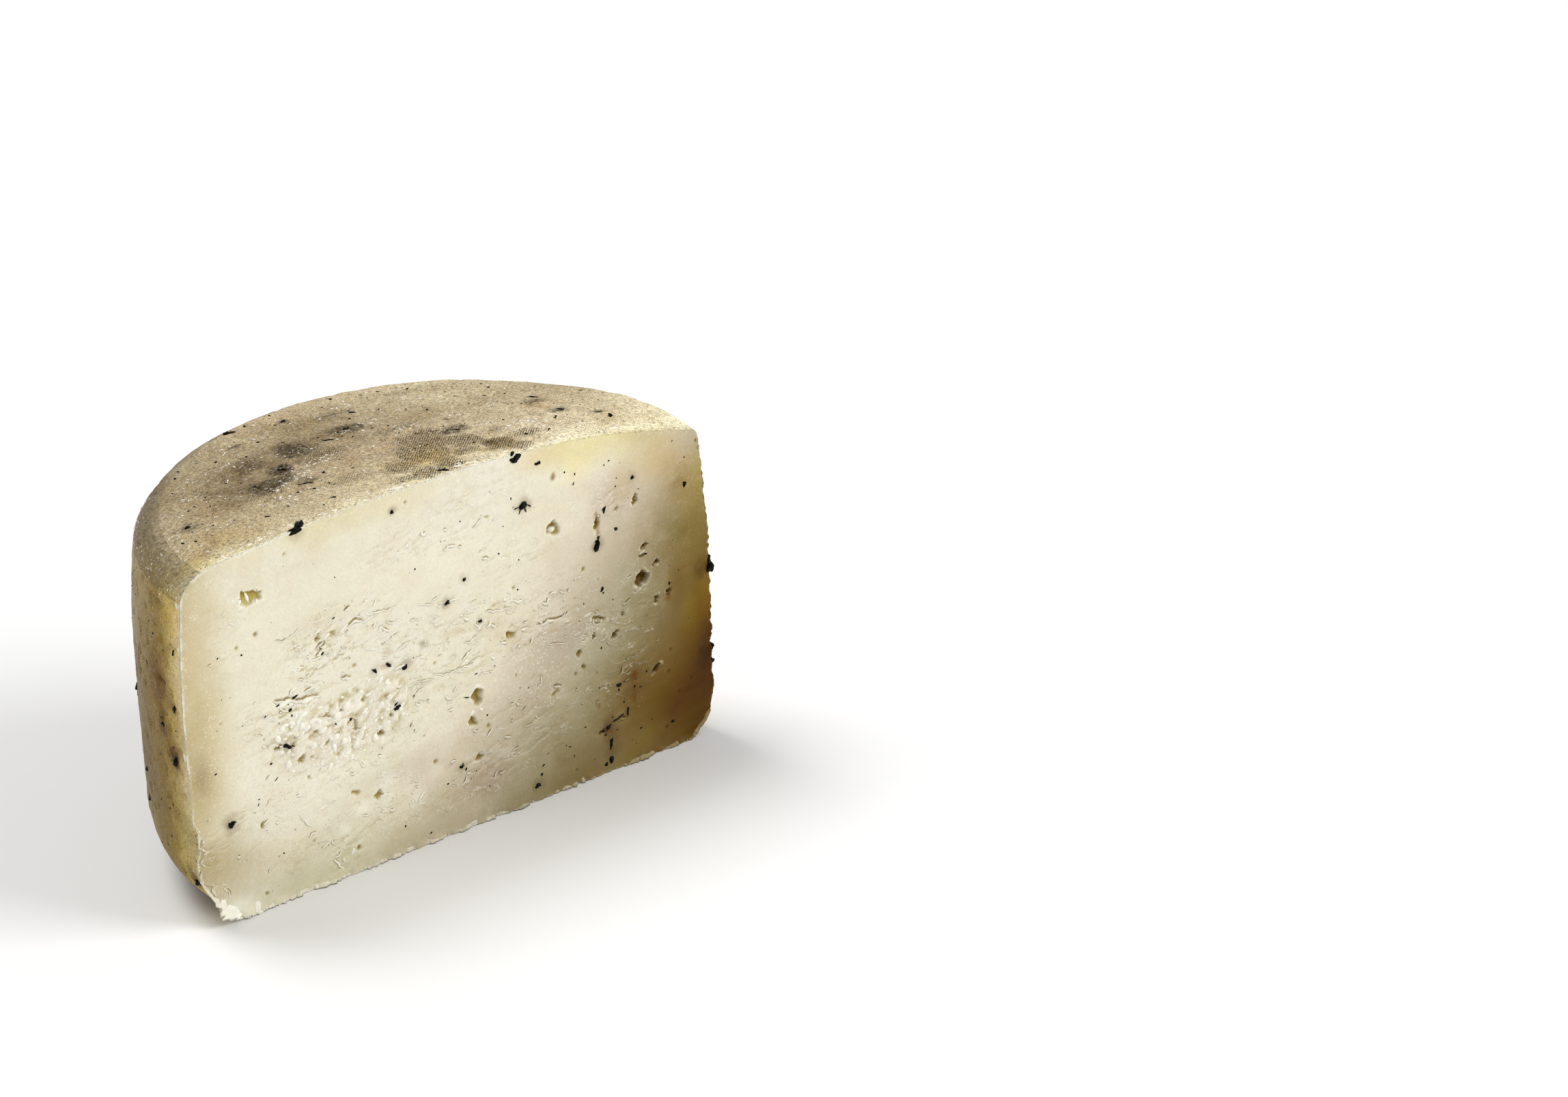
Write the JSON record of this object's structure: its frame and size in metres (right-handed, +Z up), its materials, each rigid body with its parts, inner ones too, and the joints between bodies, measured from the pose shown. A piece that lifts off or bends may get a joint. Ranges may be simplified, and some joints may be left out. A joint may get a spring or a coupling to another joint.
{
  "type": "truffle goat cheese half wheel",
  "caption": "Half a small wheel of truffle goat cheese standing on its base, with a domed natural rind and a flat cut face that shows eyes, short cracks and black truffle bits",
  "frame": {"origin": "middle of the footprint, on the surface that the cheese stands on", "axes": "+X runs along the cut to its right end as seen from in front of the cut, +Y goes back into the cheese away from the cut, +Z is up"},
  "size_m": [0.1312, 0.067, 0.0785],
  "materials": {
    "cheese": "ivory paste with a satin cut face, a matt taupe rind with a cloth print, and black truffle bits"
  },
  "bodies": {
    "root": {"cheese_half": "cheese"}
  },
  "joints": []
}
